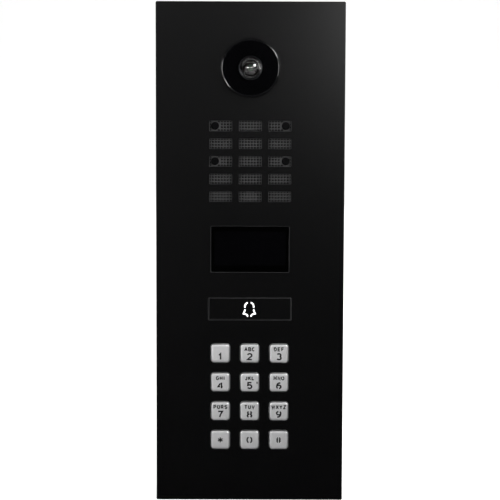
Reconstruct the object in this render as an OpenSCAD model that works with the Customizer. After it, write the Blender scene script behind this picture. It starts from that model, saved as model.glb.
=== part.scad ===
// Flush-mounted door intercom panel: camera, speaker grille, display, call button and 12-key keypad.
// X runs to the viewer's right, Z up and Y into the wall. The origin is the middle of the back box's
// rear face. "Depth" below is the distance behind the front face of the panel.

/* [Panel] */
// Width of the front panel
panel_w = 147.5; // [146:0.5:150]
// Height of the front panel
panel_h = 393.4; // [392:0.2:398]
// Sheet thickness of the front panel
panel_t = 2.5; // [2.3:0.1:2.5]
// Overall depth of the folded panel, front face to edge of the returns
panel_depth = 9; // [8.8:0.1:10]
// Corner radius of the panel's outline
panel_corner_r = 1.2; // [0.6:0.1:2]

/* [Back box] */
// Outer width of the box that is let into the wall
box_w = 124; // [122:0.5:126]
// Outer height of the box
box_h = 370; // [368:0.5:371]
// Depth of the box behind the wall's surface
box_depth = 45; // [44:1:60]
// Sheet thickness of the box
sheet_t = 1.5; // [1.2:0.1:1.5]
// Horizontal distance between the wall screws
wall_screw_x = 90; // [80:1:94]
// Vertical distance between the wall screws
wall_screw_z = 300; // [280:1:310]
// Radius of each wall screw hole
wall_hole_r = 2.75; // [2.2:0.05:3]
// Radius of the bore in each cable grommet
cable_r = 3.5; // [2.5:0.1:5]
// Width of a security hook that hangs the panel on the box
hook_w = 20; // [14:1:24]

/* [Camera] */
// Height of the camera's axis above the panel's middle
camera_z = 145.4; // [144.6:0.1:146]
// Radius of the camera's bezel where it meets the panel
bezel_r = 23.5; // [23.4:0.1:24]
// How far the bezel stands out of the panel
bezel_rise = 6.4; // [5.5:0.1:7]
// Number of infrared lamps round the lens
ir_count = 12; // [6:1:14]

/* [Grille] */
// Height of the grille's middle above the panel's middle
grille_z = 72.65; // [72:0.05:73]
// Width of one slot
slot_w = 17.2; // [16:0.1:18]
// Height of one slot
slot_h = 7.75; // [7:0.05:8]
// Vertical distance between rows of slots
slot_pitch_z = 13.8; // [13:0.1:13.8]
// Distance between the columns of holes in the perforated mesh
mesh_pitch_x = 2.35; // [2.3:0.01:2.4]
// Radius of a mesh hole
mesh_hole_r = 0.9; // [0.5:0.02:0.92]

/* [Display] */
// Height of the display's middle above the panel's middle
display_z = 3.65; // [3:0.05:4]
// Width of the display opening
display_w = 61.2; // [58:0.1:62]
// Height of the display opening
display_h = 36.1; // [34:0.1:37]

/* [Call button] */
// Height of the call button's middle, measured from the panel's middle
button_z = -43.5; // [-44:0.1:-43]
// Width of the call button's cap
button_w = 64.4; // [60:0.1:65]
// Height of the call button's cap
button_h = 16.9; // [15:0.1:17.2]
// Travel of the call button
button_travel = 0.8; // [0.4:0.1:0.8]
// Width of the bell's lit strokes
bell_stroke = 1; // [0.8:0.05:1.1]

/* [Keypad] */
// Distance between keys, which is also the distance between columns of slots
key_pitch = 23.1; // [22.6:0.1:23.4]
// Height of the top row's middle, measured from the panel's middle
keypad_top_z = -78.8; // [-79:0.1:-78]
// Width and height of a key's cap
key_size = 14.5; // [13.5:0.1:14.8]
// Corner radius of a key's cap
key_corner_r = 2.4; // [1.6:0.1:2.8]
// How far a key stands out of the panel
key_rise = 1.6; // [0.8:0.1:2]
// Gap between a cap and its opening
cap_gap = 0.45; // [0.35:0.05:0.5]

/* [Hidden] */
$fn = 64;

// depths behind the panel's front face
wall_gap = 0.5;
wall_d = panel_depth + wall_gap;
back_d = wall_d + box_depth;
front_y = -back_d;

// box and panel details
flange_w = panel_w - 6.5;
flange_h = panel_h - 6.4;
hook_x = 40;
hook_t = 1.5;
hook_z = box_h / 2 - sheet_t - 2.3;
hook_d = 14;
lock_x = 46;
lock_size = 5;
security_d = 5.5;
grommet_r = 11;
grommet_z = 100;
knockout_r = 10;

// M3 hardware
m3_r = 1.5;
m3_clear_r = 1.7;
m3_core_r = 1.25;
m3_nut_r = 3.175;
m3_nut_t = 2.4;
m3_head_r = 2.8;
m3_head_t = 2;

// camera
camera_hole_r = 21.2;
window_r = 20.8;
window_t = 1.6;
window_curve_r = 600;
window_top = 5.9;
window_hole_r = 9.5;
ir_circle_r = 14.7;

// speaker
mesh_w = 76;
mesh_pitch_z = slot_pitch_z / 6;
mesh_h = 72;
mesh_d = panel_t + 1;
mesh_t = 0.8;
mesh_screw_x = 27.6;
mesh_screw_z = [grille_z + 2 * slot_pitch_z, grille_z];
mesh_screw_head_r = 3.05;
speaker_d = mesh_d + mesh_t;
speaker_depth = 19.7;
driver_d = speaker_d + 1;
driver_r = 22.8;
mic_z = 43;

// display
display_frame_w = 84;
display_frame_h = 52;
display_stack_d = 8.4;

// call button
button_flange_d = panel_t;
button_flange_t = 1.4;
button_cavity_w = 30;
button_cavity_h = 13.6;
button_skin_t = 1.2;
button_board_d = 12;
spring_x = 29;
spring_r = 2.4;
spring_wire_r = 0.3;
spring_turns = 5;
bell_x = -0.4;
switch_x = 22;

// keypad
keypad_z = keypad_top_z - 1.5 * key_pitch;
keypad_w = 84;
keypad_h = 105;
mat_d = 7.7;
mat_t = 0.8;
key_flange_d = panel_t;
key_flange_t = 1.3;
key_skin_t = 1.2;

// electronics
board_t = 1.6;
housing_w = 117;
housing_h = 358;
housing_back_d = 34;
housing_wall = 2;
main_board_d = 22;
main_board_w = 96;
main_board_h = 150;
main_board_z = -95;
main_hole_x = 43;
main_hole_z = 69;
terminal_z = -150;
jack_x = -28;
jack_z = -112;

// weld studs as [x, z, depth of the tip, depth of the nut]
keypad_studs = [for (x = [-37.5, 37.5], z = [-47.5, 0, 47.5]) [x, keypad_z + z, 14, mat_d + mat_t + board_t]];
display_studs = [for (x = [-38.5, 38.5], z = [-22, 22]) [x, display_z + z, 12, display_stack_d]];
button_studs = [for (x = [-41, 41]) [x, button_z, 17, button_board_d + board_t]];
speaker_studs = [for (x = [-41.5, 41.5], z = [-30, 30]) [x, grille_z + z, 10, speaker_d + 2]];
nut_studs = concat(keypad_studs, display_studs, button_studs, speaker_studs);
standoff_points = [for (x = [-52.5, 52.5], z = [-170, 0, 170]) [x, z]];

// ---------- helpers ----------

// A 2-D outline drawn in X and Z, made solid from depth d to depth d + t
module slab(d, t) translate([0, front_y + d + t, 0]) rotate([90, 0, 0]) linear_extrude(t) children();

// A half profile [radius, height towards the viewer] turned about a line along Y at depth d
module turned(x, z, d) translate([x, front_y + d, z]) rotate([90, 0, 0]) rotate_extrude() children();

module rounded(w, h, r) {
    square([w - 2 * r, h], center = true);
    square([w, h - 2 * r], center = true);
    for (x = [-1, 1], y = [-1, 1]) translate([x * (w / 2 - r), y * (h / 2 - r)]) circle(r);
}

module holes_at(points, r) for (p = points) translate([p[0], p[1]]) circle(r);

// Outline of a stroke of width t along points, mitred at its corners
function unit(v) = v / norm(v);

function side_step(p, i) =
    let (a = unit(p[max(i, 1)] - p[max(i, 1) - 1]),
         b = unit(p[min(i, len(p) - 2) + 1] - p[min(i, len(p) - 2)]),
         m = unit(a + b))
    [-m[1], m[0]] / (m * a);

function stroke_outline(p, t) = concat(
    [for (i = [0:len(p) - 1]) p[i] + side_step(p, i) * t / 2],
    [for (i = [len(p) - 1:-1:0]) p[i] - side_step(p, i) * t / 2]);

// A strip of thickness t along points [depth, z], made solid over a width w about x
module strip(points, t, w, x)
    translate([x - w / 2, front_y, 0]) rotate([90, 0, 90])
        linear_extrude(w) polygon(stroke_outline(points, t));

// Points along a spherical cap: height above its rim falls off from the top by the sphere's curve
function cap_points(r_from, r_to, curve_r, top, steps) =
    [for (i = [0:steps]) let (r = r_from + (r_to - r_from) * i / steps)
        [r, top - curve_r + sqrt(curve_r * curve_r - r * r)]];

function curve_radius(r, rise) = (r * r + rise * rise) / (2 * rise);

function key_x(i) = (i % 3 - 1) * key_pitch;
function key_z(i) = keypad_top_z - floor(i / 3) * key_pitch;

// ---------- front panel and back box ----------

module panel_openings() {
    translate([0, camera_z]) circle(camera_hole_r);
    for (column = [-1:1], row = [-2:2])
        translate([column * key_pitch, grille_z + row * slot_pitch_z]) rounded(slot_w, slot_h, 0.6);
    translate([0, display_z]) rounded(display_w, display_h, 0.6);
    translate([0, button_z]) rounded(button_w + 2 * cap_gap, button_h + 2 * cap_gap, 1);
    for (i = [0:11])
        translate([key_x(i), key_z(i)])
            rounded(key_size + 2 * cap_gap, key_size + 2 * cap_gap, key_corner_r + cap_gap);
}

module hook(x) translate([x - hook_w / 2, front_y, hook_z]) {
    translate([0, panel_t, 0]) cube([hook_w, hook_d - panel_t, hook_t]);
    translate([0, hook_d - hook_t, 0]) cube([hook_w, hook_t, 6.5]);
}

module front_panel() color("#15161a") difference() {
    union() {
        slab(0, panel_t) difference() {
            rounded(panel_w, panel_h, panel_corner_r);
            panel_openings();
        }
        slab(panel_t, panel_depth - panel_t) difference() {
            rounded(panel_w, panel_h, panel_corner_r);
            square([panel_w - 2 * panel_t, panel_h - 2 * panel_t], center = true);
        }
        for (s = nut_studs) slab(panel_t, s[2] - panel_t) translate([s[0], s[1]]) circle(m3_r);
        for (p = standoff_points) slab(panel_t, 6) translate(p) circle(m3_r);
        for (x = [-hook_x, hook_x]) hook(x);
    }
    for (x = [-lock_x, lock_x]) translate([x, front_y + security_d, -panel_h / 2]) {
        translate([0, 0, -1]) cylinder(h = 1 + panel_t + 1, r = m3_clear_r);
        translate([0, 0, -1]) cylinder(h = 1 + 1.5, r = 3);
    }
}

module panel_gasket() color("#26262a") slab(panel_t, wall_d - sheet_t - panel_t) difference() {
    rounded(box_w + 7, box_h + 6.8, 4);
    rounded(box_w + 2, box_h + 1.8, 2);
}

module security_screws() color("#8d9095")
    for (x = [-lock_x, lock_x]) translate([x, front_y + security_d, -panel_h / 2]) difference() {
        union() {
            cylinder(h = 1.4, r = m3_head_r);
            cylinder(h = 8, r = m3_r - 0.05);
        }
        difference() {
            translate([0, 0, -0.1]) cylinder(h = 1, r = 1.2, $fn = 6);
            cylinder(h = 1, r = 0.35, $fn = 16);
        }
    }

module lock_blocks() color("#9a9da2")
    for (x = [-lock_x, lock_x])
        translate([x - 7, front_y + wall_d - sheet_t - lock_size, -flange_h / 2]) difference() {
            cube([14, lock_size, lock_size]);
            translate([7, security_d - (wall_d - sheet_t - lock_size), -1])
                cylinder(h = lock_size + 2, r = m3_r);
        }

module back_box() color("#b4b7bb") difference() {
    union() {
        slab(wall_d - sheet_t, sheet_t) difference() {
            rounded(flange_w, flange_h, 3);
            rounded(box_w - 2 * sheet_t, box_h - 2 * sheet_t, 2);
        }
        slab(wall_d - sheet_t, box_depth + sheet_t) difference() {
            rounded(box_w, box_h, 3.5);
            rounded(box_w - 2 * sheet_t, box_h - 2 * sheet_t, 2);
        }
        slab(back_d - sheet_t, sheet_t) rounded(box_w, box_h, 3.5);
    }
    slab(back_d - 2 * sheet_t, 3 * sheet_t) {
        for (x = [-wall_screw_x / 2, wall_screw_x / 2], z = [-wall_screw_z / 2, wall_screw_z / 2])
            translate([x, z]) circle(wall_hole_r);
        for (z = [-1, 1]) translate([0, z * grommet_z]) circle(grommet_r);
    }
    // slots that the hooks pass through, and knock-outs scored into both ends
    for (x = [-hook_x, hook_x])
        translate([x - hook_w / 2 - 1, front_y + hook_d - 2.5, box_h / 2 - 2 * sheet_t])
            cube([hook_w + 2, 3, 3 * sheet_t]);
    for (x = [-30, 30], end = [-1, 1])
        translate([x, front_y + 34, end * (box_h / 2 - 0.3)]) difference() {
            cylinder(h = 0.8, r = knockout_r, center = true);
            cylinder(h = 1, r = knockout_r - 0.8, center = true);
        }
}

module cable_grommets() color("#1b1b1d")
    for (z = [-grommet_z, grommet_z])
        turned(0, z, back_d)
            polygon([[cable_r, 0], [grommet_r - 0.1, 0], [grommet_r - 0.1, sheet_t], [13.5, sheet_t],
                     [13, 3], [8, 3], [6.5, 4], [cable_r, 4]]);

// ---------- camera ----------

module camera_bezel() color("#0b0b0d") turned(0, camera_z, 0)
    polygon([[bezel_r, 0], [bezel_r, 1], [bezel_r - 0.5, bezel_rise - 0.8], [bezel_r - 1, bezel_rise],
             [bezel_r - 1.7, bezel_rise], [20.9, bezel_rise - 0.9], [20.9, 3.2], [19.5, 3.2], [19.5, -1.2],
             [18.4, -1.2], [18.4, -9], [20.9, -9], [20.9, 0]]);

module camera_gasket() color("#202022") slab(panel_t, 0.6) translate([0, camera_z]) difference() {
    circle(26);
    circle(camera_hole_r + 0.05);
}

module camera_nut() color("#3a3b3f") slab(panel_t + 0.6, 3.5) translate([0, camera_z]) difference() {
    circle(26);
    circle(20.95);
    for (a = [0:60:300]) rotate(a) translate([25.4, 0]) square([3, 5], center = true);
}

module camera_window() color("#08080a") turned(0, camera_z, 0)
    polygon(concat(
        cap_points(window_r, window_hole_r, window_curve_r, window_top, 8),
        cap_points(window_hole_r, window_r, window_curve_r, window_top - window_t, 8)));

module ir_led_board() color("#123320") slab(-0.4, board_t) translate([0, camera_z]) difference() {
    circle(19.2);
    circle(10.2);
}

module ir_leds() color("#2b2233")
    for (i = [0:ir_count - 1]) let (a = 360 * i / ir_count + 15)
        turned(ir_circle_r * cos(a), camera_z + ir_circle_r * sin(a), -0.4)
            polygon([[0, 0], [1.6, 0], [1.6, 0.6], [1.3, 0.6], [1.3, 1.8], [0.9, 2.6], [0, 2.9]]);

module lens_barrel() color("#0e0e10") turned(0, camera_z, 0)
    polygon([[9.3, -10], [9.3, 7.4], [8.9, 7.8], [8.5, 7.8], [8.5, 5.6], [6.2, 4.6], [6.2, 3.6],
             [5.2, 3.2], [5.2, -2], [1.7, -2], [1.7, -2.4], [5.2, -2.4], [5.2, -10]]);

module lens_retainer() color("#1c1c20") turned(0, camera_z, 0)
    polygon([[9.2, 7.8], [9.2, 8.6], [8.8, 9], [8.3, 9], [7.8, 8.5], [7.8, 7.8]]);

module front_lens() color("#27314a") turned(0, camera_z, 0)
    polygon(concat(
        [[0, 8.9]], cap_points(1, 5.8, curve_radius(5.8, 3.2), 8.9, 6), [[8.4, 5.7], [8.4, 7.75]],
        cap_points(7.7, 1, curve_radius(7.7, 3.8), 11.6, 10), [[0, 11.6]]));

module inner_lens() color("#3b2f4d") turned(0, camera_z, 0)
    polygon(concat(
        [[0, 2.6]],
        [for (p = cap_points(1, 5.1, curve_radius(5.1, 1.05), 0, 5)) [p[0], 2.6 - p[1]]],
        [[6.1, 3.65], [6.1, 4.4]],
        cap_points(5.9, 1, curve_radius(5.9, 1.1), 5.5, 6), [[0, 5.5]]));

module lens_holder() color("#141416") difference() {
    slab(7, 4.6) translate([0, camera_z]) rounded(22, 22, 1.5);
    slab(6, 7) translate([0, camera_z]) circle(9.35);
}

module camera_board() {
    color("#0f3d25") slab(11.6, board_t) translate([0, camera_z]) rounded(28, 28, 1.5);
    color("#30323a") slab(10.4, 1.2) translate([0, camera_z]) square([9, 9], center = true);
    color("#d8d2c0") slab(11.6 + board_t, 2) translate([0, camera_z - 6]) square([16, 4], center = true);
}

module camera_housing() color("#1a1a1d") difference() {
    slab(6.6, 19.2) translate([0, camera_z]) circle(23.5);
    slab(6, 18) translate([0, camera_z]) circle(21.2);
    slab(23, 4) translate([0, camera_z]) square([18, 2.4], center = true);
}

// ---------- speaker and microphone ----------

module speaker_gasket() color("#222226") slab(panel_t, 1) translate([0, grille_z]) difference() {
    rounded(mesh_w + 2, mesh_h + 1, 2);
    rounded(mesh_w - 8, mesh_h - 5, 1);
}

module speaker_mesh() color("#5b5d61") slab(mesh_d, mesh_t) difference() {
    translate([0, grille_z]) rounded(mesh_w, mesh_h, 1);
    for (column = [-13.5:13.5], row = [-13.5:13.5])
        let (x = column * mesh_pitch_x, z = grille_z + row * mesh_pitch_z)
            if (!near_mesh_screw(x, z)) translate([x, z]) circle(mesh_hole_r, $fn = 16);
    for (x = [-mesh_screw_x, mesh_screw_x], z = mesh_screw_z) translate([x, z]) circle(1.4);
}

function near_mesh_screw(x, z) =
    len([for (sx = [-mesh_screw_x, mesh_screw_x], sz = mesh_screw_z)
        if (norm([x - sx, z - sz]) < mesh_screw_head_r + mesh_hole_r) 1]) > 0;

module mesh_screws() color("#2a2b2e")
    for (x = [-mesh_screw_x, mesh_screw_x], z = mesh_screw_z) difference() {
        turned(x, z, mesh_d)
            polygon([[0, 1.9], [2.4, 1.9], [mesh_screw_head_r, 1.2], [mesh_screw_head_r, 0], [1.2, 0],
                     [1.2, -10], [0, -10]]);
        slab(mesh_d - 2, 1.2) translate([x, z]) circle(1.3, $fn = 6);
    }

module speaker_housing() color("#202125") {
    difference() {
        slab(speaker_d, speaker_depth) translate([0, grille_z]) rounded(mesh_w, mesh_h, 1.5);
        slab(speaker_d - 1, speaker_depth - 1) translate([0, grille_z]) rounded(mesh_w - 4, mesh_h - 4, 1);
    }
    slab(speaker_d, 2) difference() {
        translate([0, grille_z]) rounded(91, mesh_h, 2);
        translate([0, grille_z]) rounded(mesh_w - 4, mesh_h - 4, 1);
        holes_at(speaker_studs, m3_clear_r);
    }
    // ring that seats the driver, posts for the mesh screws and the microphone's socket
    slab(driver_d + 2, speaker_d + speaker_depth - 2 - driver_d - 2) translate([0, grille_z]) difference() {
        circle(24);
        circle(21);
    }
    slab(driver_d, 2) translate([0, grille_z]) difference() {
        circle(24);
        circle(driver_r + 0.1);
    }
    for (x = [-mesh_screw_x, mesh_screw_x], z = mesh_screw_z)
        slab(speaker_d, speaker_depth - 2) translate([x, z]) difference() {
            circle(3.2);
            circle(m3_core_r);
        }
    slab(speaker_d, speaker_depth - 2) translate([0, mic_z]) difference() {
        circle(5.2);
        circle(4.05);
    }
}

module speaker_frame() color("#6a6c70") turned(0, grille_z, driver_d)
    polygon([[driver_r, 0], [driver_r, -2], [20.9, -2], [12.4, -9.4], [12.4, -10], [6.5, -10], [6.5, -9.2],
             [11.6, -9.2], [19.9, -1.9], [19.9, 0]]);

module speaker_cone() color("#1f1f22") turned(0, grille_z, driver_d)
    polygon([[19.7, -0.3], [19.7, -0.9], [6, -6.6], [6, -9], [5.5, -9], [5.5, -6.4], [0, -4.8], [0, -4.3],
             [5.8, -5.8], [17.4, -0.9], [18.6, -0.3]]);

module speaker_magnet() color("#3c3d40") turned(0, grille_z, driver_d + 10)
    polygon([[0, 2.5], [4.8, 2.5], [4.8, 0], [12.5, 0], [12.5, -5.2], [0, -5.2]]);

module microphone() color("#9c9fa4") turned(0, mic_z, speaker_d + 1.4)
    polygon([[0.4, 0], [2.9, 0], [2.9, -2.6], [0, -2.6], [0, -0.5], [0.4, -0.5]]);

module microphone_boot() color("#252528") turned(0, mic_z, speaker_d)
    polygon([[4, 0], [4, -5], [0, -5], [0, -4], [2.95, -4], [2.95, -1.4], [1.2, -1.4], [1.2, 0]]);

// ---------- display ----------

module display_window() color("#0a0b0d") slab(panel_t, 1.8) translate([0, display_z]) rounded(67, 42, 1.5);

module display_panel() color("#131519")
    slab(panel_t + 1.85, 2.1) translate([0, display_z]) rounded(60.5, 37, 0.6);

module display_board() {
    color("#0f3d25") slab(6.5, board_t) translate([0, display_z]) difference() {
        rounded(69.6, 43.6, 1);
        holes_at([for (x = [-1, 1], z = [-1, 1]) [x * 32, z * 19]], 1.2);
    }
    color("#d8d2c0") slab(6.5 + board_t, 2.6) translate([0, display_z - 17]) square([20, 5], center = true);
}

module display_frame() color("#1e1f23") difference() {
    slab(panel_t, display_stack_d - panel_t)
        translate([0, display_z]) rounded(display_frame_w, display_frame_h, 3);
    slab(panel_t - 1, 2.85) translate([0, display_z]) rounded(67.2, 42.2, 1.5);
    slab(panel_t, 5) translate([0, display_z]) rounded(60.8, 37.3, 0.6);
    slab(6.45, 3) translate([0, display_z]) rounded(70, 44, 1);
    slab(panel_t - 1, 9) holes_at(display_studs, m3_clear_r);
}

// ---------- call button ----------

// A bell drawn as an outline stencil: a round crown, a flared skirt and a clapper, broken by bridges
module bell(stroke) {
    crown = concat([for (a = [69:-11.5:0]) [3.45 * cos(a), 1.75 + 3.45 * sin(a)]], [[3.45, 0.9]]);
    skirt = [[3.45, -0.5], [3.55, -1.5], [4.6, -3.85], [2.4, -4.35], [1.55, -5.2], [1.25, -6.1]];
    translate([bell_x, 0]) for (side = [0, 1]) mirror([side, 0]) {
        polygon(stroke_outline(crown, stroke));
        polygon(stroke_outline(skirt, stroke));
    }
}

module call_button() color("#16171b") difference() {
    union() {
        slab(0, button_flange_d) translate([0, button_z]) rounded(button_w, button_h, 0.6);
        slab(button_flange_d, button_flange_t)
            translate([0, button_z]) rounded(button_w + 4, button_h + 3.7, 1.2);
        for (x = [-switch_x, switch_x])
            slab(button_flange_d, 8.2 - button_flange_d) translate([x, button_z]) circle(1.8);
    }
    slab(button_skin_t, 8) translate([0, button_z]) rounded(button_cavity_w, button_cavity_h, 1);
    slab(-1, 3) translate([0, button_z]) bell(bell_stroke);
}

module call_button_light() color("#f2f3f0") {
    slab(button_skin_t, 3.4)
        translate([0, button_z]) rounded(button_cavity_w - 0.2, button_cavity_h - 0.2, 0.9);
    slab(0, button_skin_t) translate([0, button_z]) bell(bell_stroke - 0.06);
}

module button_frame() color("#1e1f23") slab(panel_t, button_board_d - panel_t) difference() {
    translate([0, button_z]) rounded(90, 25, 2);
    translate([0, button_z]) rounded(button_w + 4.7, button_h + 4.4, 1.4);
    holes_at(button_studs, m3_clear_r);
}

// One coil spring, swept as a closed tube along its helix between depths d and d + length
module spring(x, z, d, length) {
    sides = 8;
    rings = spring_turns * 14;
    span = length - 2 * spring_wire_r;
    start = front_y + d + spring_wire_r;
    points = [for (i = [0:rings], j = [0:sides - 1])
        let (a = 360 * spring_turns * i / rings, b = 360 * j / sides, r = spring_r + spring_wire_r * cos(b))
            [x + r * cos(a), start + span * i / rings + spring_wire_r * sin(b), z + r * sin(a)]];
    walls = [for (i = [0:rings - 1], j = [0:sides - 1])
        let (k = (j + 1) % sides) [i * sides + j, i * sides + k, (i + 1) * sides + k, (i + 1) * sides + j]];
    ends = [[for (j = [sides - 1:-1:0]) j], [for (j = [0:sides - 1]) rings * sides + j]];
    polyhedron(points, concat(walls, ends));
}

module button_springs() color("#c9cbce") {
    start = button_flange_d + button_flange_t;
    for (x = [-spring_x, spring_x]) spring(x, button_z, start, button_board_d - start);
}

module button_board() {
    color("#0f3d25") slab(button_board_d, board_t) difference() {
        translate([0, button_z]) rounded(90, 25, 2);
        holes_at(button_studs, m3_clear_r);
    }
    color("#2d2e31") for (x = [-switch_x, switch_x]) {
        slab(9.4, button_board_d - 9.4) translate([x, button_z]) square([6, 6], center = true);
        slab(9.05, 0.35) translate([x, button_z]) circle(1.75);
    }
    color("#f0efe6") for (x = [-6, 0, 6])
        slab(button_board_d - 0.8, 0.8) translate([x, button_z]) square([2.8, 2.8], center = true);
}

// ---------- keypad ----------

module key(i) {
    // steel cap with a retaining flange behind the panel
    color("#c4c6c8") translate([key_x(i), 0, key_z(i)]) difference() {
        union() {
            slab(-key_rise, key_rise + key_flange_d) rounded(key_size, key_size, key_corner_r);
            slab(key_flange_d, key_flange_t) rounded(16.8, 16.8, 1.6);
        }
        slab(key_skin_t - key_rise, 8) rounded(11.9, 11.9, 1.4);
    }
    // light guide and plunger inside the cap
    color("#d9dadd") translate([key_x(i), 0, key_z(i)]) {
        key_back = key_flange_d + key_flange_t;
        slab(key_skin_t - key_rise, key_back - key_skin_t + key_rise) rounded(11.8, 11.8, 1.35);
        slab(key_back, mat_d - 1.15 - key_back) circle(3);
    }
}

module keypad_frame() color("#1e1f23") slab(panel_t, mat_d - panel_t) difference() {
    translate([0, keypad_z]) rounded(keypad_w, keypad_h, 3);
    for (i = [0:11]) translate([key_x(i), key_z(i)]) rounded(17.5, 17.5, 1.9);
    holes_at(keypad_studs, m3_clear_r);
}

module keypad_mat() color("#8f9396") {
    slab(mat_d, mat_t) difference() {
        translate([0, keypad_z]) rounded(keypad_w, keypad_h, 3);
        for (i = [0:11]) translate([key_x(i), key_z(i)]) {
            circle(3.9);
            translate([0, 6.6]) square([4.2, 2.4], center = true);
        }
        holes_at(keypad_studs, m3_clear_r);
    }
    for (i = [0:11]) turned(key_x(i), key_z(i), mat_d)
        polygon([[4.9, 0], [3.2, 1.1], [0, 1.1], [0, 0.2], [2.3, 0.2], [2.7, 0.5], [3.9, -0.2],
                 [3.9, -mat_t], [4.9, -mat_t]]);
}

module keypad_board() {
    color("#0f3d25") slab(mat_d + mat_t, board_t) difference() {
        translate([0, keypad_z]) rounded(keypad_w, keypad_h, 3);
        holes_at(keypad_studs, m3_clear_r);
    }
    color("#f0efe6") for (i = [0:11])
        slab(mat_d, mat_t) translate([key_x(i), key_z(i) + 6.6]) square([3.2, 1.6], center = true);
    color("#d8d2c0")
        slab(mat_d + mat_t + board_t, 2.4) translate([0, keypad_z - 40]) square([20, 5], center = true);
}

// ---------- electronics ----------

module rear_housing() color("#25272b") difference() {
    union() {
        slab(panel_t, housing_back_d - panel_t) difference() {
            rounded(housing_w, housing_h, 4);
            rounded(housing_w - 2 * housing_wall, housing_h - 2 * housing_wall, 2);
        }
        slab(housing_back_d - housing_wall, housing_wall) rounded(housing_w, housing_h, 4);
        for (x = [-main_hole_x, main_hole_x], z = [-main_hole_z, main_hole_z])
            slab(main_board_d + board_t, housing_back_d - housing_wall - main_board_d - board_t + 1)
                translate([x, main_board_z + z]) circle(3.2);
    }
    slab(housing_back_d - housing_wall - 1, 4) {
        holes_at(standoff_points, m3_clear_r);
        translate([0, terminal_z]) square([63, 15], center = true);
        translate([jack_x, jack_z]) square([17, 17.5], center = true);
        for (z = [20:6:92]) translate([0, z]) rounded(60, 2.2, 1.05);
    }
    for (x = [-main_hole_x, main_hole_x], z = [-main_hole_z, main_hole_z])
        slab(main_board_d, 8) translate([x, main_board_z + z]) circle(m3_core_r);
}

module main_board() {
    color("#0f3d25") slab(main_board_d, board_t) translate([0, main_board_z]) difference() {
        rounded(main_board_w, main_board_h, 2);
        holes_at([for (x = [-main_hole_x, main_hole_x], z = [-main_hole_z, main_hole_z]) [x, z]], m3_clear_r);
    }
    // shielded processor, relays and capacitors
    color("#b9bbbf") slab(main_board_d - 3.4, 3.4) translate([0, -62]) rounded(38, 34, 1);
    color("#26292e") for (x = [22, 36])
        slab(main_board_d + board_t, 7) translate([x, -118]) rounded(11, 16, 0.6);
    color("#33353b") for (x = [-38, -27, -16])
        slab(main_board_d - 7, 7) translate([x, -140]) circle(4);
    // tamper switch whose lever meets the rear of the housing
    color("#2d2e31") slab(main_board_d + board_t, 6) translate([38, -60]) square([6, 13], center = true);
    color("#c9cbce")
        strip([[main_board_d + board_t + 6, -65], [main_board_d + board_t + 7.8, -55]], 0.4, 4, 38);
    // sockets of the three ribbon cables
    color("#d8d2c0") {
        slab(main_board_d - 2.4, 2.4) translate([0, keypad_z - 40]) square([20, 5], center = true);
        slab(main_board_d - 2.4, 2.4) translate([0, -33]) square([20, 5], center = true);
        slab(main_board_d + board_t, 2.4) translate([0, -26]) square([20, 5], center = true);
    }
}

module terminal_block() color("#1f6b3a") difference() {
    slab(main_board_d + board_t, 12) translate([0, terminal_z]) square([61, 13], center = true);
    for (i = [0:11]) translate([(i - 5.5) * 5, 0, 0]) {
        slab(main_board_d + board_t + 5, 8)
            translate([0, terminal_z - 2.6]) square([3.4, 4.2], center = true);
        slab(main_board_d + board_t + 7, 6) translate([0, terminal_z + 3]) circle(1.5);
    }
}

module ethernet_jack() color("#c0c3c7") difference() {
    slab(main_board_d + board_t, 13.5) translate([jack_x, jack_z]) square([16, 16.5], center = true);
    slab(main_board_d + board_t + 2, 13) translate([jack_x, jack_z]) {
        square([12, 7], center = true);
        translate([0, 4.4]) square([6, 2.6], center = true);
    }
}

module standoffs() color("#c9a24a")
    for (p = standoff_points) difference() {
        slab(panel_t, housing_back_d - housing_wall - panel_t) translate(p) circle(m3_nut_r, $fn = 6);
        slab(panel_t - 1, 7.2) translate(p) circle(m3_r + 0.05);
        slab(housing_back_d - housing_wall - 8, 9) translate(p) circle(m3_core_r);
    }

module stud_nuts() color("#a9acb0")
    for (s = nut_studs) slab(s[3], m3_nut_t) translate([s[0], s[1]]) difference() {
        circle(m3_nut_r, $fn = 6);
        circle(m3_r + 0.05);
    }

// Pan-head screw along Y with its head's underside at depth d; facing is 1 when the head points to the rear
module m3_screw(x, z, d, facing) translate([x, front_y + d, z]) rotate([-90 * facing, 0, 0]) difference() {
    union() {
        cylinder(h = m3_head_t, r = m3_head_r);
        translate([0, 0, -6]) cylinder(h = 6, r = m3_core_r - 0.05);
    }
    translate([0, 0, m3_head_t - 1.2]) cylinder(h = 2, r = 1.3, $fn = 6);
}

module m3_screws() color("#b9bcc0") {
    for (p = standoff_points) m3_screw(p[0], p[1], housing_back_d, 1);
    for (x = [-main_hole_x, main_hole_x], z = [-main_hole_z, main_hole_z])
        m3_screw(x, main_board_z + z, main_board_d, -1);
}

module ribbon_cables() color("#dcdcd6") {
    keypad_leg = mat_d + mat_t + board_t + 1.2;
    keypad_bottom = keypad_z - 42.5;
    // keypad board round to the front of the main board
    strip([[keypad_leg, keypad_bottom], [keypad_leg, keypad_bottom - 5], [keypad_leg + 2, keypad_bottom - 8],
           [main_board_d - 3.2, keypad_bottom - 8], [main_board_d - 1.2, keypad_bottom - 5],
           [main_board_d - 1.2, keypad_bottom]], 0.3, 16, 0);
    // display board down to the front of the main board
    strip([[9.4, display_z - 19.5], [9.4, -18.5], [11.5, -21.5], [17, -23], [20, -25.5],
           [main_board_d - 1.2, -28], [main_board_d - 1.2, -30.5]], 0.3, 16, 0);
    // camera down behind the speaker to the rear of the main board
    strip([[15.4, camera_z - 6], [16.5, camera_z - 6], [20, camera_z - 3], [22, camera_z], [27, camera_z],
           [28.5, camera_z - 3], [28.5, -15], [27, -20], [24.8, -21.5], [24.8, -23.5]], 0.3, 16, 0);
}

// ---------- what is drawn ----------

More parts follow.
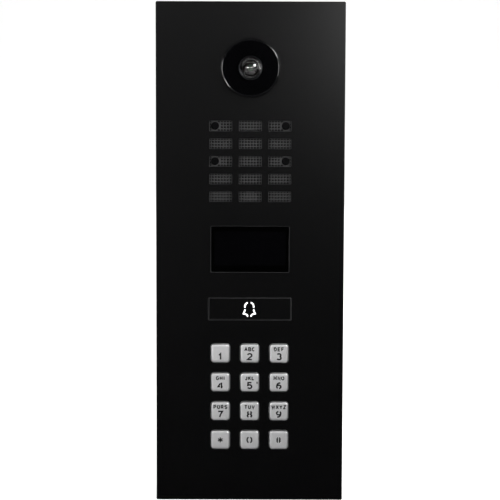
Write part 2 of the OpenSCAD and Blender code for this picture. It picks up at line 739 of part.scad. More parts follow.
front_panel();
panel_gasket();
security_screws();
back_box();
lock_blocks();
cable_grommets();
camera_bezel();
camera_gasket();
camera_nut();
camera_window();
ir_led_board();
ir_leds();
lens_barrel();
lens_retainer();
front_lens();
inner_lens();
lens_holder();
camera_board();
camera_housing();
speaker_gasket();
speaker_mesh();
mesh_screws();
speaker_housing();
speaker_frame();
speaker_cone();
speaker_magnet();
microphone();
microphone_boot();
display_window();
display_panel();
display_board();
display_frame();
call_button();
call_button_light();
button_frame();
button_springs();
button_board();
keypad_frame();
keypad_mat();
keypad_board();
rear_housing();
main_board();
terminal_block();
ethernet_jack();
standoffs();
stud_nuts();
m3_screws();
ribbon_cables();
key(0);  // key_1
key(1);  // key_2
key(2);  // key_3
key(3);  // key_4
key(4);  // key_5
key(5);  // key_6
key(6);  // key_7
key(7);  // key_8
key(8);  // key_9
key(9);  // key_star
key(10);  // key_0
key(11);  // key_hash
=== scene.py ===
"""Door intercom panel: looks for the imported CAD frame.

Lengths are millimetres, with depth measured back from the panel's face, unless a comment says metres.
"""
import math

import bpy
from mathutils import Matrix, Vector


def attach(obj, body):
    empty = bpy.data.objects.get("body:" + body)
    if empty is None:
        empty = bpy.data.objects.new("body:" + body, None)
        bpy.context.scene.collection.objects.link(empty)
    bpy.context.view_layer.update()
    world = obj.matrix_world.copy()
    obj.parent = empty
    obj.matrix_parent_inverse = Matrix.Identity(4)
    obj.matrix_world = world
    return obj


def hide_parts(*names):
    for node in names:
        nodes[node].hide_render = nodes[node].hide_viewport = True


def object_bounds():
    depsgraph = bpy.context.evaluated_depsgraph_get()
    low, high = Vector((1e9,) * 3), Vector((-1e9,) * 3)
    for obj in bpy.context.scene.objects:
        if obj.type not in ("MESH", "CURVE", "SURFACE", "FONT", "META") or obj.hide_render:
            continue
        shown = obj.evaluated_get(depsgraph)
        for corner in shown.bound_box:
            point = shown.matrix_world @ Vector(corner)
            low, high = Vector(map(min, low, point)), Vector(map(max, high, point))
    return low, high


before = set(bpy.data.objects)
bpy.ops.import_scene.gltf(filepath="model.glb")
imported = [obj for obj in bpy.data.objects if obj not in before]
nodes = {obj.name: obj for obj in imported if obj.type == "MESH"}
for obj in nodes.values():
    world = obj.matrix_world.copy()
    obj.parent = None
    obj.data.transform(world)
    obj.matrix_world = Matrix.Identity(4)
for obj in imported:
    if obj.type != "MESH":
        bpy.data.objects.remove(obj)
cad_low, cad_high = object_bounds()

FACE_Y = -54.5          # y of the panel's front face in millimetres
CAMERA_Z = 145.4
DISPLAY_Z = 3.65
KEY_PITCH = 23.1
KEYPAD_TOP_Z = -78.8


def place(x, depth, z):
    """A point given in millimetres, with depth behind the panel's face, in the shared frame."""
    return Vector((x, FACE_Y + depth, z)) * 0.001


# ---------- materials ----------

def new_material(name):
    material = bpy.data.materials.new(name)
    material.use_nodes = True
    tree = material.node_tree
    shader = tree.nodes["Principled BSDF"]
    return material, tree, shader


def noise(tree, scale, detail=4.0, stretch=(1, 1, 1), roughness=0.55):
    """Noise in object space; scale is in features per metre."""
    coords = tree.nodes.new("ShaderNodeTexCoord")
    mapping = tree.nodes.new("ShaderNodeMapping")
    mapping.inputs["Scale"].default_value = stretch
    texture = tree.nodes.new("ShaderNodeTexNoise")
    texture.inputs["Scale"].default_value = scale
    texture.inputs["Detail"].default_value = detail
    texture.inputs["Roughness"].default_value = roughness
    tree.links.new(coords.outputs["Object"], mapping.inputs["Vector"])
    tree.links.new(mapping.outputs["Vector"], texture.inputs["Vector"])
    return texture.outputs["Fac"]


def blend_colours(tree, factor, low, high, start=0.3, end=0.7):
    ramp = tree.nodes.new("ShaderNodeValToRGB")
    ramp.color_ramp.elements[0].position = start
    ramp.color_ramp.elements[1].position = end
    ramp.color_ramp.elements[0].color = (*low, 1)
    ramp.color_ramp.elements[1].color = (*high, 1)
    tree.links.new(factor, ramp.inputs["Fac"])
    return ramp.outputs["Color"]


def vary(tree, factor, low, high):
    remap = tree.nodes.new("ShaderNodeMapRange")
    remap.inputs["From Min"].default_value = 0.25
    remap.inputs["From Max"].default_value = 0.75
    remap.inputs["To Min"].default_value = low
    remap.inputs["To Max"].default_value = high
    tree.links.new(factor, remap.inputs["Value"])
    return remap.outputs["Result"]


def add_bump(tree, shader, factor, strength, distance):
    bump = tree.nodes.new("ShaderNodeBump")
    bump.inputs["Strength"].default_value = strength
    bump.inputs["Distance"].default_value = distance
    tree.links.new(factor, bump.inputs["Height"])
    tree.links.new(bump.outputs["Normal"], shader.inputs["Normal"])


def finish_material(name, colour, spread, roughness, metallic=0.0, grain=900, stretch=(1, 1, 1),
                    bump=0.0, bump_size=0.00002, specular=0.5, coat=0.0, cloud=40):
    """A finish with cloudy colour, uneven gloss and a fine grain."""
    material, tree, shader = new_material(name)
    low = [c * (1 - spread) for c in colour]
    high = [min(1, c * (1 + spread)) for c in colour]
    tree.links.new(blend_colours(tree, noise(tree, cloud), low, high), shader.inputs["Base Color"])
    fine = noise(tree, grain, 5, stretch)
    tree.links.new(vary(tree, fine, roughness[0], roughness[1]), shader.inputs["Roughness"])
    shader.inputs["Metallic"].default_value = metallic
    shader.inputs["Specular IOR Level"].default_value = specular
    shader.inputs["Coat Weight"].default_value = coat
    shader.inputs["Coat Roughness"].default_value = 0.03
    if bump:
        add_bump(tree, shader, fine, bump, bump_size)
    return material


def circuit_material(name):
    """Green solder mask with paler tracks."""
    material, tree, shader = new_material(name)
    coords = tree.nodes.new("ShaderNodeTexCoord")
    mapping = tree.nodes.new("ShaderNodeMapping")
    mapping.inputs["Rotation"].default_value = (math.radians(90), 0, 0)
    bricks = tree.nodes.new("ShaderNodeTexBrick")
    bricks.inputs["Scale"].default_value = 190
    bricks.inputs["Mortar Size"].default_value = 0.035
    bricks.inputs["Color1"].default_value = (0.008, 0.075, 0.032, 1)
    bricks.inputs["Color2"].default_value = (0.01, 0.09, 0.04, 1)
    bricks.inputs["Mortar"].default_value = (0.03, 0.19, 0.08, 1)
    tree.links.new(coords.outputs["Object"], mapping.inputs["Vector"])
    tree.links.new(mapping.outputs["Vector"], bricks.inputs["Vector"])
    tree.links.new(bricks.outputs["Color"], shader.inputs["Base Color"])
    tree.links.new(vary(tree, noise(tree, 500), 0.25, 0.4), shader.inputs["Roughness"])
    add_bump(tree, shader, bricks.outputs["Fac"], 0.3, 0.00005)
    return material


def glass_material(name, colour, ior):
    """Coated glass, so its reflections are weaker than bare glass has."""
    material, tree, shader = new_material(name)
    tree.links.new(blend_colours(tree, noise(tree, 60, 2), [c * 0.96 for c in colour], colour),
                   shader.inputs["Base Color"])
    shader.inputs["Transmission Weight"].default_value = 1.0
    shader.inputs["Roughness"].default_value = 0.0
    shader.inputs["IOR"].default_value = ior
    shader.inputs["Specular IOR Level"].default_value = 0.25
    return material


def light_material(name, colour, strength):
    """An opal part that glows; the glow is a little uneven, as light guides are."""
    material, tree, shader = new_material(name)
    shade = blend_colours(tree, noise(tree, 120, 2), [c * 0.93 for c in colour], colour)
    tree.links.new(shade, shader.inputs["Base Color"])
    tree.links.new(shade, shader.inputs["Emission Color"])
    shader.inputs["Emission Strength"].default_value = strength
    shader.inputs["Roughness"].default_value = 0.4
    return material


BLACK_PAINT = finish_material("black_powder_coat", (0.0007, 0.0007, 0.0008), 0.12, (0.19, 0.25), grain=2600,
                              bump=0.1, bump_size=0.00002, specular=0.3)
# The two edge materials below are lighter copies of the black paint for the bevels of the panel and the call
# button: a painted highlight that draws light outlines round the edges and openings.
PAINTED_EDGE_HIGHLIGHT = finish_material("powder_coat_painted_highlight", (0.017, 0.017, 0.0175), 0.15, (0.3, 0.4), grain=2600)
BUTTON_PAINTED_HIGHLIGHT = finish_material("button_painted_highlight", (0.022, 0.022, 0.0225), 0.15, (0.3, 0.4), grain=2600)
KEY_STEEL = finish_material("satin_steel", (0.79, 0.79, 0.795), 0.05, (0.34, 0.42), 0.9, 5200, (1, 1, 0.12),
                            bump=0.25, bump_size=0.00001, cloud=160)
PLAIN_STEEL = finish_material("zinc_plated_steel", (0.48, 0.49, 0.5), 0.1, (0.25, 0.4), 1.0, 3000)
SCREW_STEEL = finish_material("screw_steel", (0.5, 0.5, 0.52), 0.08, (0.2, 0.34), 1.0, 4000)
DARK_SCREW = finish_material("black_oxide_screw", (0.0012, 0.0012, 0.0014), 0.2, (0.2, 0.28), 0, 4000,
                             specular=0.12)
MESH_STEEL = finish_material("dark_mesh", (0.026, 0.026, 0.0265), 0.1, (0.4, 0.5), 0.1, 3500, bump=0.1)
GALVANISED = finish_material("galvanised_sheet", (0.52, 0.53, 0.54), 0.22, (0.28, 0.5), 0.8, 260, cloud=95)
BRASS = finish_material("turned_brass", (0.62, 0.42, 0.16), 0.1, (0.22, 0.34), 1.0, 3000, (1, 12, 1))
MAGNET = finish_material("ferrite", (0.05, 0.05, 0.055), 0.25, (0.5, 0.7), 0.2, 1800, bump=0.2)
RUBBER = finish_material("black_rubber", (0.018, 0.018, 0.019), 0.2, (0.6, 0.75), 0, 1500, bump=0.3,
                         specular=0.3)
SILICONE = finish_material("grey_silicone", (0.3, 0.31, 0.32), 0.06, (0.5, 0.6), 0, 1200, bump=0.1)
DARK_PLASTIC = finish_material("dark_plastic", (0.022, 0.023, 0.026), 0.12, (0.42, 0.55), 0, 3200, bump=0.25)
BLACK_PLASTIC = finish_material("black_plastic", (0.0012, 0.0012, 0.0014), 0.2, (0.5, 0.6), 0, 3200, bump=0.25,
                                specular=0.15)
GLOSS_BLACK = finish_material("gloss_black", (0.0022, 0.0022, 0.0025), 0.15, (0.1, 0.14), 0, 1500, specular=0.5,
                              coat=0.3)
SMOKED = finish_material("smoked_window", (0.0008, 0.0008, 0.001), 0.2, (0.03, 0.05), 0, 900, specular=0.12)
BARREL = finish_material("black_anodised", (0.008, 0.008, 0.009), 0.15, (0.28, 0.36), 0.6, 3000, (1, 20, 1))
RING = finish_material("lens_ring", (0.03, 0.03, 0.032), 0.12, (0.2, 0.28), 0.9, 3000, (1, 20, 1))
GREEN = finish_material("terminal_green", (0.03, 0.2, 0.06), 0.08, (0.4, 0.5), 0, 2200, bump=0.1)
RIBBON = finish_material("ribbon_film", (0.62, 0.62, 0.6), 0.06, (0.3, 0.42), 0, 1400, (30, 1, 1), bump=0.2)
CONE = finish_material("speaker_film", (0.0025, 0.0025, 0.0028), 0.15, (0.5, 0.6), 0, 900, specular=0.15)
LEGEND = finish_material("legend_fill", (0.004, 0.004, 0.0045), 0.2, (0.45, 0.55), 0, 2600, specular=0.2)
LED_DOME = finish_material("infrared_lamps", (0.05, 0.03, 0.07), 0.15, (0.05, 0.08), 0, 900)
GUIDE = finish_material("key_light_guide", (0.7, 0.71, 0.73), 0.05, (0.25, 0.35), 0, 1200)
BOARD = circuit_material("circuit_board")
LENS_GLASS = glass_material("coated_lens", (0.6, 0.6, 0.6), 1.58)
DISPLAY_CELL = finish_material("display_cell", (0.0004, 0.0004, 0.0005), 0.1, (0.2, 0.26), 0, 1500,
                               specular=0.1)
DISPLAY_GLASS = finish_material("display_glass", (0.0002, 0.0002, 0.0002), 0.15, (0.04, 0.06), 0, 1500,
                                specular=0.12)
DISPLAY_AREA = finish_material("display_lit_area", (0.0006, 0.0006, 0.0008), 0.1, (0.05, 0.08), 0, 1500,
                               specular=0.12)
BELL_LIGHT = light_material("lit_white", (1.0, 1.0, 1.0), 0.98)

CAD_FINISHES = {
    BLACK_PAINT: ["front_panel", "call_button"],
    BELL_LIGHT: ["call_button_light"],
    RUBBER: ["panel_gasket", "cable_grommets", "camera_gasket"],
    SCREW_STEEL: ["security_screws", "m3_screws", "button_springs"],
    GALVANISED: ["back_box", "ethernet_jack"],
    PLAIN_STEEL: ["lock_blocks", "stud_nuts"],
    BLACK_PLASTIC: ["speaker_housing", "microphone"],
    DARK_PLASTIC: ["camera_nut", "lens_holder", "camera_housing", "display_frame",
                   "button_frame", "keypad_frame", "rear_housing"],
    GLOSS_BLACK: ["camera_bezel"],
    SMOKED: ["camera_window"],
    BOARD: ["ir_led_board", "camera_board", "display_board", "button_board", "keypad_board", "main_board"],
    LED_DOME: ["ir_leds"],
    BARREL: ["lens_barrel"],
    RING: ["lens_retainer"],
    LENS_GLASS: ["front_lens", "inner_lens"],
    MESH_STEEL: ["speaker_mesh"],
    DARK_SCREW: ["mesh_screws"],
    CONE: ["speaker_cone", "speaker_frame", "speaker_gasket", "microphone_boot"],
    MAGNET: ["speaker_magnet"],
    DISPLAY_GLASS: ["display_window"],
    DISPLAY_CELL: ["display_panel"],
    SILICONE: ["keypad_mat"],
    GREEN: ["terminal_block"],
    BRASS: ["standoffs"],
    RIBBON: ["ribbon_cables"],
    KEY_STEEL: ["key_1", "key_2", "key_3", "key_4", "key_5", "key_6", "key_7", "key_8", "key_9",
                "key_star", "key_0", "key_hash"],
}
for finish, names in CAD_FINISHES.items():
    for node_name in names:
        nodes[node_name].data.materials.clear()
        nodes[node_name].data.materials.append(finish)


# ---------- mesh helpers ----------

def mesh_piece(name, points, faces, material, body="housing", smooth_deg=32):
    mesh = bpy.data.meshes.new(name)
    mesh.from_pydata([tuple(p) for p in points], [], faces)
    mesh.validate()
    mesh.polygons.foreach_set("use_smooth", [True] * len(mesh.polygons))
    mesh.set_sharp_from_angle(angle=math.radians(smooth_deg))
    mesh.materials.append(material)
    piece = bpy.data.objects.new(name, mesh)
    bpy.context.scene.collection.objects.link(piece)
    if body:
        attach(piece, body)
    return piece


def rounded_outline(width, height, radius, steps=7):
    """Corner points of a rounded rectangle, anticlockwise as seen from the front, about its middle."""
    points = []
    for sx, sz, start in ((1, 1, 0), (-1, 1, 90), (-1, -1, 180), (1, -1, 270)):
        for i in range(steps + 1):
            a = math.radians(start + 90 * i / steps)
            points.append((sx * (width / 2 - radius) + radius * math.cos(a),
                           sz * (height / 2 - radius) + radius * math.sin(a)))
    return points


def loft(name, sections, x, z, material, body="housing", closed_ends=True, loop=False, smooth_deg=32):
    """A solid through sections, each an outline with the depth that it lies at."""
    count = len(sections[0][0])
    points = [place(x + px, depth, z + pz) for outline, depth in sections for px, pz in outline]
    faces = []
    rows = len(sections) if loop else len(sections) - 1
    for i in range(rows):
        j = (i + 1) % len(sections)
        for k in range(count):
            m = (k + 1) % count
            faces.append((i * count + k, i * count + m, j * count + m, j * count + k))
    if closed_ends and not loop:
        faces.append(tuple(range(count - 1, -1, -1)))
        faces.append(tuple((len(sections) - 1) * count + k for k in range(count)))
    return mesh_piece(name, points, faces, material, body, smooth_deg)


def lathe(name, profile, x, z, material, body="housing", segments=96, smooth_deg=32):
    """A closed profile of (radius, height in front of the face) turned about the line through x and z."""
    points = []
    faces = []
    starts = []
    for radius, height in profile:
        starts.append(len(points))
        if radius < 1e-6:
            points.append(place(x, -height, z))
            continue
        for k in range(segments):
            a = 2 * math.pi * k / segments
            points.append(place(x + radius * math.cos(a), -height, z + radius * math.sin(a)))
    for i in range(len(profile)):
        j = (i + 1) % len(profile)
        on_axis_i = profile[i][0] < 1e-6
        on_axis_j = profile[j][0] < 1e-6
        if on_axis_i and on_axis_j:
            continue
        for k in range(segments):
            m = (k + 1) % segments
            if on_axis_i:
                faces.append((starts[i], starts[j] + m, starts[j] + k))
            elif on_axis_j:
                faces.append((starts[i] + k, starts[i] + m, starts[j]))
            else:
                faces.append((starts[i] + k, starts[i] + m, starts[j] + m, starts[j] + k))
    return mesh_piece(name, points, faces, material, body, smooth_deg)


def sphere_points(start_r, end_r, curve_r, top, steps):
    """Points on a ball of radius curve_r whose top is at height top, or its mirror if curve_r < 0."""
    points = []
    for i in range(steps + 1):
        r = start_r + (end_r - start_r) * i / steps
        sag = abs(curve_r) - math.sqrt(curve_r ** 2 - r ** 2)
        points.append((r, top - math.copysign(sag, curve_r)))
    return points


def curve_radius(r, rise):
    return (r * r + rise * rise) / (2 * rise)


def soften(node_name, width, edge_material, segments=2, angle=50):
    """Breaks the sharp edges of a CAD node, which are joined up first, and gives the bevels a material of their
    own; where that material is lighter than the body, it is a painted highlight along the edges.
    """
    node = nodes[node_name]
    node.data.materials.append(edge_material)
    weld = node.modifiers.new("join", "WELD")
    weld.merge_threshold = 0.000002
    bevel = node.modifiers.new("edges", "BEVEL")
    bevel.width = width * 0.001
    bevel.segments = segments
    bevel.limit_method = "ANGLE"
    bevel.angle_limit = math.radians(angle)
    bevel.use_clamp_overlap = False
    bevel.loop_slide = False
    bevel.material = 1
    bevel.miter_outer = "MITER_ARC"
    normals = node.modifiers.new("shading", "WEIGHTED_NORMAL")
    normals.keep_sharp = True


# ---------- legends ----------

def arc(cx, cy, rx, ry, start, end, step=22.5):
    count = max(2, int(abs(end - start) / step) + 1)
    return [(cx + rx * math.cos(math.radians(start + (end - start) * i / count)),
             cy + ry * math.sin(math.radians(start + (end - start) * i / count))) for i in range(count + 1)]


GLYPHS = {
    "1": [[(-0.62, 0.42), (0.08, 0.98), (0.08, -1)]],
    "2": [arc(0, 0.42, 0.95, 0.58, 165, -28) + [(-0.95, -1), (1, -1)]],
    "3": [arc(0, 0.5, 0.85, 0.5, 150, -70), arc(0, -0.47, 0.95, 0.53, 70, -150)],
    "4": [[(-0.02, 0.72), (-1, -0.42), (-0.12, -0.42)], [(0.5, 1), (0.5, -1)], [(0.5, -0.42), (1.05, -0.42)]],
    "5": [[(0.85, 1), (-0.7, 1), (-0.82, 0.05)] + arc(0, -0.38, 0.95, 0.62, 130, -150)],
    "6": [[(0.7, 0.95)] + arc(0.3, -0.3, 1.25, 1.2, 105, 172) + arc(0, -0.42, 0.95, 0.58, 190, 238),
          arc(0, -0.42, 0.95, 0.58, 138, -84)],
    "7": [[(-1, 1), (0.95, 1), (0.1, -0.1), (-0.3, -1)]],
    "8": [arc(0, 0.5, 0.82, 0.5, 62, -58) + arc(0, -0.48, 0.95, 0.52, 60, -62),
          arc(0, 0.5, 0.82, 0.5, 118, 238) + arc(0, -0.48, 0.95, 0.52, 120, 242)],
    "9": [[(-0.7, -0.95)] + arc(-0.3, 0.3, 1.25, 1.2, 285, 352) + arc(0, 0.42, 0.95, 0.58, 10, 58),
          arc(0, 0.42, 0.95, 0.58, 318, 96)],
    "0": [arc(0, 0, 0.98, 1.02, 68, -68), arc(0, 0, 0.98, 1.02, 112, 248)],
    "*": [[(0, 0.85), (0, -0.85)], [(-0.98, 0.42), (0.98, -0.42)], [(-0.98, -0.42), (0.98, 0.42)]],
    "#": [[(-0.38, 0.95), (-0.5, -0.95)], [(0.5, 0.95), (0.38, -0.95)], [(-1, 0.33), (-0.14, 0.33)],
          [(0.2, 0.33), (1, 0.33)], [(-1, -0.33), (-0.2, -0.33)], [(0.14, -0.33), (1, -0.33)]],
    "A": [[(-1, -1), (0, 1), (1, -1)], [(-0.55, -0.32), (0.55, -0.32)]],
    "B": [[(-0.85, -1), (-0.85, 1), (0.15, 1)] + arc(0.15, 0.5, 0.55, 0.5, 90, -90) + [(-0.35, 0)],
          [(0.15, 0)] + arc(0.2, -0.5, 0.65, 0.5, 90, -90) + [(-0.85, -1)]],
    "C": [arc(0, 0, 0.95, 1, 48, 312)],
    "D": [[(-0.85, -0.6), (-0.85, 1), (-0.1, 1)] + arc(-0.1, 0, 0.95, 1, 90, -90) + [(-0.85, -1)]],
    "E": [[(0.8, 1), (-0.75, 1), (-0.75, -1), (0.8, -1)], [(-0.75, 0), (0.6, 0)]],
    "F": [[(0.8, 1), (-0.75, 1), (-0.75, -1)], [(-0.75, 0), (0.5, 0)]],
    "G": [arc(0, 0, 0.95, 1, 48, 330) + [(0.9, -0.08), (0.25, -0.08)]],
    "H": [[(-0.8, -1), (-0.8, 1)], [(0.8, -1), (0.8, 1)], [(-0.8, 0), (0.8, 0)]],
    "I": [[(0, -1), (0, 1)]],
    "J": [[(0.5, 1), (0.5, -0.4)] + arc(-0.05, -0.42, 0.55, 0.58, 0, -170)],
    "K": [[(-0.8, -1), (-0.8, 1)], [(0.8, 1), (-0.75, -0.15)], [(-0.2, 0.25), (0.85, -1)]],
    "L": [[(-0.7, 1), (-0.7, -1), (0.75, -1)]],
    "M": [[(-0.95, -1), (-0.95, 1), (0, -0.3), (0.95, 1), (0.95, -1)]],
    "N": [[(-0.8, -1), (-0.8, 1), (0.8, -1), (0.8, 1)]],
    "O": [arc(0, 0, 0.98, 1, 80, -260)],
    "P": [[(-0.75, -1), (-0.75, 1), (0.15, 1)] + arc(0.15, 0.45, 0.6, 0.55, 90, -90) + [(-0.45, -0.1)]],
    "Q": [arc(0, 0, 0.98, 1, 80, -260), [(0.3, -0.4), (0.95, -1.05)]],
    "R": [[(-0.75, -1), (-0.75, 1), (0.15, 1)] + arc(0.15, 0.45, 0.6, 0.55, 90, -90) + [(-0.45, -0.1)],
          [(0.1, -0.1), (0.85, -1)]],
    "S": [arc(0, 0.48, 0.8, 0.52, 25, 250) + arc(0, -0.5, 0.85, 0.5, 75, -155)],
    "T": [[(-0.95, 1), (0.95, 1)], [(0, 1), (0, -1)]],
    "U": [[(-0.8, 1), (-0.8, -0.3)] + arc(0, -0.32, 0.8, 0.68, 180, 360) + [(0.8, 1)]],
    "V": [[(-0.95, 1), (0, -1), (0.95, 1)]],
    "W": [[(-1.15, 1), (-0.6, -1), (0, 0.75), (0.6, -1), (1.15, 1)]],
    "X": [[(-0.9, 1), (0.9, -1)], [(-0.9, -1), (0.9, 1)]],
    "Y": [[(-0.95, 1), (0, 0), (0.95, 1)], [(0, 0), (0, -1)]],
    "Z": [[(-0.8, 1), (0.8, 1), (-0.8, -1), (0.85, -1)]],
}
LETTER_WIDTHS = {"I": 0.55, "J": 0.8, "W": 1.2, "M": 1.1, "L": 0.85}


def stroke_sides(line, width):
    """Left and right edges of a stroke along a line, mitred at its corners."""
    left, right = [], []
    for i, p in enumerate(line):
        before = Vector(p) - Vector(line[i - 1]) if i else Vector(line[1]) - Vector(p)
        after = Vector(line[i + 1]) - Vector(p) if i < len(line) - 1 else before
        a, b = before.normalized(), after.normalized()
        middle = (a + b).normalized() if (a + b).length > 1e-6 else a
        reach = width / 2 / max(middle.dot(a), 0.42)
        side = Vector((-middle.y, middle.x)) * reach
        left.append((p[0] + side.x, p[1] + side.y))
        right.append((p[0] - side.x, p[1] - side.y))
    return left, right


LAYER_STEP = 0.0008      # keeps crossing strokes off each other's plane
LEGEND_DEPTH = 0.05
LEGEND_PROUD = 0.006


def legend(name, marks, x, z, depth, body):
    """Filled strokes let into a key's face.

    marks holds (glyph, middle x, middle z, half width, half height, stroke width).
    """
    points, faces = [], []
    layer = 0
    for glyph, gx, gz, half_w, half_h, width in marks:
        for line in GLYPHS[glyph]:
            layer += 1
            front = depth - LAYER_STEP * (layer % 5)
            scaled = [(x + gx + px * half_w, z + gz + pz * half_h) for px, pz in line]
            left, right = stroke_sides(scaled, width)
            base = len(points)
            for (lx, lz), (rx, rz) in zip(left, right):
                points += [place(lx, front, lz), place(rx, front, rz),
                           place(lx, depth + LEGEND_DEPTH, lz), place(rx, depth + LEGEND_DEPTH, rz)]
            for i in range(len(line) - 1):
                a, b = base + 4 * i, base + 4 * i + 4
                faces += [(a, a + 1, b + 1, b), (a, b, b + 2, a + 2), (a + 1, a + 3, b + 3, b + 1),
                          (a + 2, b + 2, b + 3, a + 3)]
            last = base + 4 * (len(line) - 1)
            faces += [(base, base + 2, base + 3, base + 1), (last, last + 1, last + 3, last + 2)]
    return mesh_piece(name, points, faces, LEGEND, body)


# ---------- keys ----------

KEYS = ["key_1", "key_2", "key_3", "key_4", "key_5", "key_6", "key_7", "key_8", "key_9",
        "key_star", "key_0", "key_hash"]
LABELS = [("1", ""), ("2", "ABC"), ("3", "DEF"), ("4", "GHI"), ("5", "JKL"), ("6", "MNO"),
          ("7", "PQRS"), ("8", "TUV"), ("9", "WXYZ"), ("*", ""), ("0", ""), ("#", "")]
CAP = 14.5               # cap width and height
CAP_R = 2.4
CAP_FRONT = -1.6         # depth of the cap's face, which stands proud of the panel
EDGE = 0.75              # radius of the cap's rounded edge
FLANGE = 16.8            # rim behind the panel that stops the key falling out
FLANGE_FRONT = 2.5
FLANGE_BACK = 3.8
POCKET = 11.9            # hollow behind the cap that the light guide fills
GUIDE_BLOCK = 11.8
GUIDE_STEM = 6
CAP_EDGE_STEPS = 6

cap_sections = [(rounded_outline(CAP - 5, CAP - 5, 1.0), CAP_FRONT)]
for step in range(CAP_EDGE_STEPS + 1):
    turn = math.radians(90 / CAP_EDGE_STEPS * step)
    inset = EDGE * (1 - math.sin(turn))
    cap_sections.append((rounded_outline(CAP - 2 * inset, CAP - 2 * inset, CAP_R - inset),
                         CAP_FRONT + EDGE * (1 - math.cos(turn))))
cap_sections += [(rounded_outline(CAP, CAP, CAP_R), FLANGE_FRONT),
                 (rounded_outline(FLANGE, FLANGE, 1.6), FLANGE_FRONT),
                 (rounded_outline(FLANGE, FLANGE, 1.6), FLANGE_BACK),
                 (rounded_outline(POCKET, POCKET, 1.4), FLANGE_BACK),
                 (rounded_outline(POCKET, POCKET, 1.4), -0.4)]
guide_sections = [(rounded_outline(GUIDE_BLOCK, GUIDE_BLOCK, 1.35), -0.39),
                  (rounded_outline(GUIDE_BLOCK, GUIDE_BLOCK, 1.35), FLANGE_BACK),
                  (rounded_outline(GUIDE_STEM, GUIDE_STEM, 2.99), FLANGE_BACK),
                  (rounded_outline(GUIDE_STEM, GUIDE_STEM, 2.99), 6.55)]

DIGIT_Z = -2.5           # where a digit sits below its letters
DIGIT_SIZE = (1.72, 2.3, 1.2)      # half width, half height, stroke width
LONE_SIZE = (1.85, 2.3)
LETTER_Z = 3.35
LETTER_SIZE = (0.96, 1.25, 0.8)
LETTER_PITCH = 2.9
PIP = ("I", 5.9, -0.2, 0.3, 0.75, 0.85)      # the mark at the right of the 5 key

for index, key in enumerate(KEYS):
    key_x = (index % 3 - 1) * KEY_PITCH
    key_z = KEYPAD_TOP_Z - (index // 3) * KEY_PITCH
    body = key + "_body"
    cap = loft(key + "_cap", cap_sections, key_x, key_z, KEY_STEEL, body)
    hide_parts(key)
    loft(key + "_light_guide", guide_sections, key_x, key_z, GUIDE, body)
    digit, letters = LABELS[index]
    if letters or digit == "1":
        marks = [(digit, 0, DIGIT_Z, *DIGIT_SIZE)]
    else:
        marks = [(digit, 0, 0, *LONE_SIZE, 1.15 if digit == "0" else 0.95)]
    widths = [LETTER_WIDTHS.get(c, 1.0) * LETTER_PITCH for c in letters]
    start = -sum(widths) / 2
    for c, w in zip(letters, widths):
        marks.append((c, start + w / 2, LETTER_Z, *LETTER_SIZE))
        start += w
    if digit == "5":
        marks.append(PIP)
    legend(key + "_legend", marks, key_x, key_z, CAP_FRONT - LEGEND_PROUD, body)

# ---------- camera ----------

bezel = lathe("camera_bezel_turned", [
    (23.5, 0), (23.5, 0.9), (23.2, 3.0), (22.95, 5.2), (22.85, 5.7), (22.6, 6.1), (22.3, 6.32), (21.95, 6.4),
    (21.75, 6.35), (21.5, 6.2), (20.95, 5.55), (20.9, 5.4), (20.9, 3.2), (19.5, 3.2), (19.5, -1.2),
    (18.4, -1.2), (18.4, -9), (20.9, -9), (20.9, 0)], 0, CAMERA_Z, GLOSS_BLACK, smooth_deg=28)
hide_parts("camera_bezel")

window = lathe("camera_window_domed",
               sphere_points(20.8, 9.5, 600, 5.9, 16) + sphere_points(9.5, 20.8, 600, 4.3, 16),
               0, CAMERA_Z, SMOKED)
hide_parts("camera_window")

retainer = lathe("lens_retainer_turned", [
    (9.2, 7.8), (9.2, 8.5), (9.05, 8.8), (8.8, 9.0), (8.35, 9.0), (8.1, 8.9), (7.85, 8.5), (7.8, 7.8)],
    0, CAMERA_Z, RING)
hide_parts("lens_retainer")

front_lens = lathe("front_lens_ground",
                   [(0, 8.9)] + sphere_points(0.7, 5.8, curve_radius(5.8, 3.2), 8.9, 12)
                   + [(8.4, 5.7), (8.4, 7.72)]
                   + sphere_points(7.7, 0.7, curve_radius(7.7, 3.8), 11.6, 20) + [(0, 11.6)],
                   0, CAMERA_Z, LENS_GLASS, smooth_deg=20)
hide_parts("front_lens")

inner_lens = lathe("inner_lens_ground",
                   [(0, 2.6)] + sphere_points(0.6, 5.1, -curve_radius(5.1, 1.05), 2.6, 10)
                   + [(6.1, 3.65), (6.1, 4.4)]
                   + sphere_points(5.9, 0.6, curve_radius(5.9, 1.1), 5.5, 12) + [(0, 5.5)],
                   0, CAMERA_Z, LENS_GLASS, smooth_deg=20)
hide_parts("inner_lens")

# ---------- display ----------

loft("display_active_area", [(rounded_outline(55.8, 26.8, 0.2, 2), 2.495),
                             (rounded_outline(55.8, 26.8, 0.2, 2), 2.52)],
     0, DISPLAY_Z + 0.3, DISPLAY_AREA)

# The bevels of the panel and the button take the lighter edge materials, a painted highlight; the back box's
# bevels keep its own galvanised finish.
soften("front_panel", 0.28, PAINTED_EDGE_HIGHLIGHT)
soften("call_button", 0.28, BUTTON_PAINTED_HIGHLIGHT)
soften("back_box", 0.3, GALVANISED)

# ---------- studio ----------

def plain(name, colour, roughness=0.9, emission=0.0):
    material, tree, shader = new_material(name)
    shader.inputs["Base Color"].default_value = (*colour, 1)
    shader.inputs["Roughness"].default_value = roughness
    shader.inputs["Specular IOR Level"].default_value = 0.1
    if emission:
        shader.inputs["Emission Color"].default_value = (*colour, 1)
        shader.inputs["Emission Strength"].default_value = emission
    return material


FLOOR_HALF = 6.0         # metres, as the rest of the studio
FLOOR_BACK = 3.0
COVE_R = 1.5
WALL_TOP = 5.0

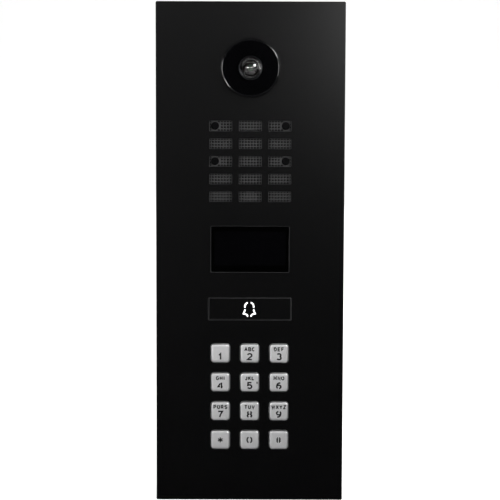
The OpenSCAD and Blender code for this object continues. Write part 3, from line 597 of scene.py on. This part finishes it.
floor_z = cad_low.z
sweep_line = [(-FLOOR_HALF + (FLOOR_HALF + FLOOR_BACK) * i / 12, 0.0) for i in range(13)]
for a in range(9, 91, 9):
    angle = math.radians(a)
    sweep_line.append((FLOOR_BACK + COVE_R * math.sin(angle), COVE_R - COVE_R * math.cos(angle)))
sweep_line.append((FLOOR_BACK + COVE_R, WALL_TOP))
sweep_points = [(x, y, floor_z + z) for y, z in sweep_line for x in (-FLOOR_HALF, FLOOR_HALF)]
sweep_faces = [(2 * i, 2 * i + 1, 2 * i + 3, 2 * i + 2) for i in range(len(sweep_line) - 1)]
sweep_mesh = bpy.data.meshes.new("floor")
sweep_mesh.from_pydata(sweep_points, [], sweep_faces)
sweep_mesh.polygons.foreach_set("use_smooth", [True] * len(sweep_mesh.polygons))
sweep_mesh.materials.append(plain("pale_floor", (0.8, 0.8, 0.8), emission=0.35))
floor = bpy.data.objects.new("floor", sweep_mesh)
bpy.context.scene.collection.objects.link(floor)
floor.visible_glossy = False

world = bpy.data.worlds.new("studio")
world.use_nodes = True
bpy.context.scene.world = world
tree = world.node_tree
tree.nodes.clear()
output = tree.nodes.new("ShaderNodeOutputWorld")
seen = tree.nodes.new("ShaderNodeBackground")
seen.inputs["Color"].default_value = (1, 1, 1, 1)
seen.inputs["Strength"].default_value = 1.0
fill = tree.nodes.new("ShaderNodeBackground")
fill.inputs["Color"].default_value = (1, 1, 1, 1)
fill.inputs["Strength"].default_value = 0.02
path = tree.nodes.new("ShaderNodeLightPath")
mix = tree.nodes.new("ShaderNodeMixShader")
tree.links.new(path.outputs["Is Camera Ray"], mix.inputs["Fac"])
tree.links.new(fill.outputs["Background"], mix.inputs[1])
tree.links.new(seen.outputs["Background"], mix.inputs[2])
tree.links.new(mix.outputs["Shader"], output.inputs["Surface"])


def softbox(name, position, target, width, height, power, glossy=True):
    light = bpy.data.lights.new(name, "AREA")
    light.shape = "RECTANGLE"
    light.size = width
    light.size_y = height
    light.energy = power
    lamp = bpy.data.objects.new(name, light)
    lamp.location = position
    lamp.rotation_euler = (Vector(target) - Vector(position)).to_track_quat("-Z", "Y").to_euler()
    lamp.visible_glossy = glossy
    bpy.context.scene.collection.objects.link(lamp)
    return lamp


softbox("softbox_right", (1.143, -1.269, 0.833), (0, 0, 0), 0.5, 0.5, 30)
softbox("softbox_left", (-0.85, -1.7, 0.17), (0, 0, 0), 0.4, 0.4, 13.5)
softbox("gradient_card", (0.365, -1.842, 0.29), (0, 0, 0), 0.3, 0.3, 2.4)
softbox("gradient_card_left", (-0.193, -1.834, 0.46), (0, 0, 0), 0.3, 0.3, 0.22)
softbox("overhead", (0, 0.8, 2.6), (0, 0.8, 0), 5.0, 4.0, 170, glossy=False)
softbox("rear_fill", (0.6, 2.2, 1.2), (0, 0, 0), 1.5, 1.5, 20)

# ---------- camera of the photograph ----------

panel_middle = Vector((0, FACE_Y * 0.001, 0))
distance, elevation = 1.4275, math.radians(6.0)
camera_data = bpy.data.cameras.new("view")
camera = bpy.data.objects.new("view", camera_data)
bpy.context.scene.collection.objects.link(camera)
camera.location = panel_middle + Vector((0, -distance * math.cos(elevation), distance * math.sin(elevation)))
look = (panel_middle + Vector((0, 0, 0.0031)) - camera.location).normalized()
aim = look.to_track_quat("-Z", "Y").to_matrix()
roll = math.radians(0.18)
camera.rotation_euler = (aim @ Matrix.Rotation(roll, 3, Vector((0, 0, 1)))).to_euler()
camera_data.sensor_fit = "HORIZONTAL"
camera_data.angle = math.radians(15.66)
bpy.context.scene.camera = camera
bpy.context.scene.view_settings.view_transform = "Standard"
